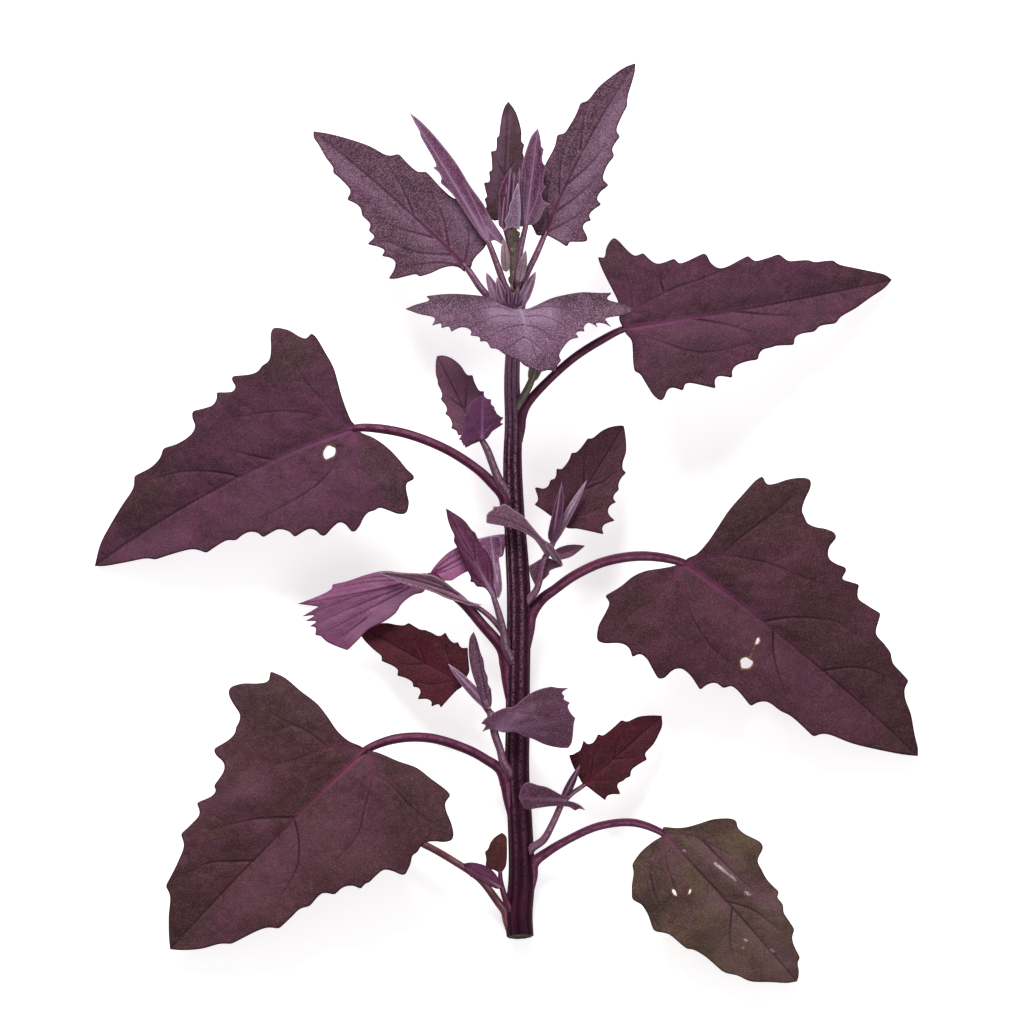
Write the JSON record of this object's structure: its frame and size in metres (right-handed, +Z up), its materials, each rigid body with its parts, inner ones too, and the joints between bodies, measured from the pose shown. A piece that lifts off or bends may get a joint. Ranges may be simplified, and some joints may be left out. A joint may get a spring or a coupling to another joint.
{
  "type": "red orache shoot",
  "caption": "Cut leafy shoot of red orache lying flat, with a ribbed burgundy stem, toothed triangular purple leaves, small leafy side shoots and a bud-like growing tip",
  "frame": {"origin": "on the table, under the middle of the bounding box of the shoot as it lies", "axes": "+Y runs from the cut end of the stem to the growing tip, +X to the right of the shoot seen from above, +Z up from the table"},
  "size_m": [0.2722, 0.3034, 0.0514],
  "materials": {
    "stem": "burgundy, ribbed, with a silvery bloom",
    "dark_leaf": "dark purplish maroon, matte and mealy",
    "olive_leaf": "dull olive-brown with pinkish scars, matte",
    "mealy_leaf": "mealy mauve-grey, matte",
    "lilac_leaf": "lavender-grey, finely mealy, matte",
    "underside_leaf": "pinkish purple underside, matte",
    "shoot_leaf": "dark maroon, matte",
    "bud": "green-brown, mealy"
  },
  "bodies": {
    "root": {"main_stem": "stem", "leaf_lower_left": "dark_leaf", "leaf_upper_left": "dark_leaf", "leaf_lower_right": "olive_leaf", "leaf_middle_right": "dark_leaf", "leaf_upper_right": "dark_leaf", "leaf_lowest_left": "dark_leaf", "leaf_middle_left": "underside_leaf", "leaf_top_left": "mealy_leaf", "leaf_top_back": "mealy_leaf", "leaf_top_right": "mealy_leaf", "leaf_top_left_narrow": "underside_leaf", "leaf_top_middle": "underside_leaf", "leaf_top_front": "lilac_leaf", "side_shoot_upper_left": "shoot_leaf", "side_shoot_middle_right": "shoot_leaf", "side_shoot_middle_left": "underside_leaf", "side_shoot_lower_left": "shoot_leaf", "side_shoot_lower_right": "shoot_leaf", "side_shoot_lowest_left": "shoot_leaf", "side_shoot_upper_right": "bud", "growing_tip": "bud"}
  },
  "joints": []
}
